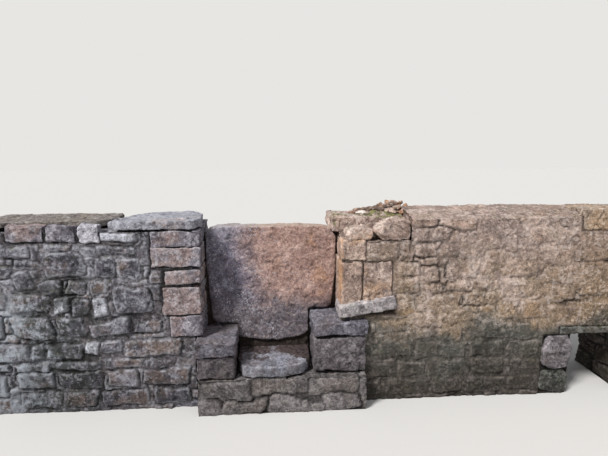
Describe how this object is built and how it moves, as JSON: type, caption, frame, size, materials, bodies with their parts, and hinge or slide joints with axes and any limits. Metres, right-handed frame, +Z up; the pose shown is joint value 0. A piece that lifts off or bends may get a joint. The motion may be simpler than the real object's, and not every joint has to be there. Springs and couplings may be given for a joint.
{
  "type": "stone wall stile",
  "caption": "Slab stile in a mortared rubble wall: an upright slab closes the gap, with step blocks, quoins, a tilted ledge stone and a low lintelled opening.",
  "frame": {"origin": "on the underside of the threshold footing, under the middle of the gap, at the lowest ground level that the wall meets", "axes": "+X along the wall to the right seen from the near side, +Y through the wall to the far side, +Z up"},
  "size_m": [5.4, 0.784, 1.5],
  "materials": {
    "rubble": "rough mortared rubble",
    "weathered_top": "weathered, with moss",
    "footing": "rough masonry",
    "bedding": "coarse bedding mortar",
    "loose_rubble": "broken stone",
    "slab_stone": "coarse granular stone, lichened",
    "step_stone": "worn stone",
    "doorstep_stone": "worn smooth",
    "left_dressed_stone": "roughly squared stone",
    "right_dressed_stone": "roughly squared stone",
    "cap_stone": "lichened stone",
    "ledge_stone": "pale weathered stone",
    "opening_stone": "damp stone"
  },
  "bodies": {
    "root": {"left_wall_core": "rubble", "right_wall_core": "rubble", "over_opening_masonry": "rubble", "right_end_masonry": "rubble", "right_wall_top": "weathered_top", "threshold_footing": "footing", "slab_bed": "bedding", "ledge_packing": "bedding", "rubble_heap": "loose_rubble", "upright_slab": "slab_stone", "near_left_step": "step_stone", "near_right_step": "step_stone", "far_left_step": "step_stone", "far_right_step": "step_stone", "near_left_step_base": "step_stone", "near_right_step_base": "step_stone", "far_left_step_base": "step_stone", "far_right_step_base": "step_stone", "near_doorstep": "doorstep_stone", "far_doorstep": "doorstep_stone", "left_quoin_1": "left_dressed_stone", "left_quoin_2": "left_dressed_stone", "left_quoin_3": "left_dressed_stone", "left_quoin_4": "left_dressed_stone", "left_quoin_5": "left_dressed_stone", "left_cap_stone": "cap_stone", "left_back_cap": "weathered_top", "left_top_stone_1": "left_dressed_stone", "left_top_stone_2": "left_dressed_stone", "left_top_stone_3": "left_dressed_stone", "right_quoin_1": "right_dressed_stone", "right_quoin_2": "right_dressed_stone", "right_pier_stone": "right_dressed_stone", "right_pier_cap": "right_dressed_stone", "right_top_stone_1": "right_dressed_stone", "right_top_stone_2": "right_dressed_stone", "right_end_top_stone": "right_dressed_stone", "right_ledge_stone": "ledge_stone", "opening_lintel": "opening_stone", "opening_jamb_stone_lower": "opening_stone", "opening_jamb_stone_upper": "opening_stone"}
  },
  "joints": []
}
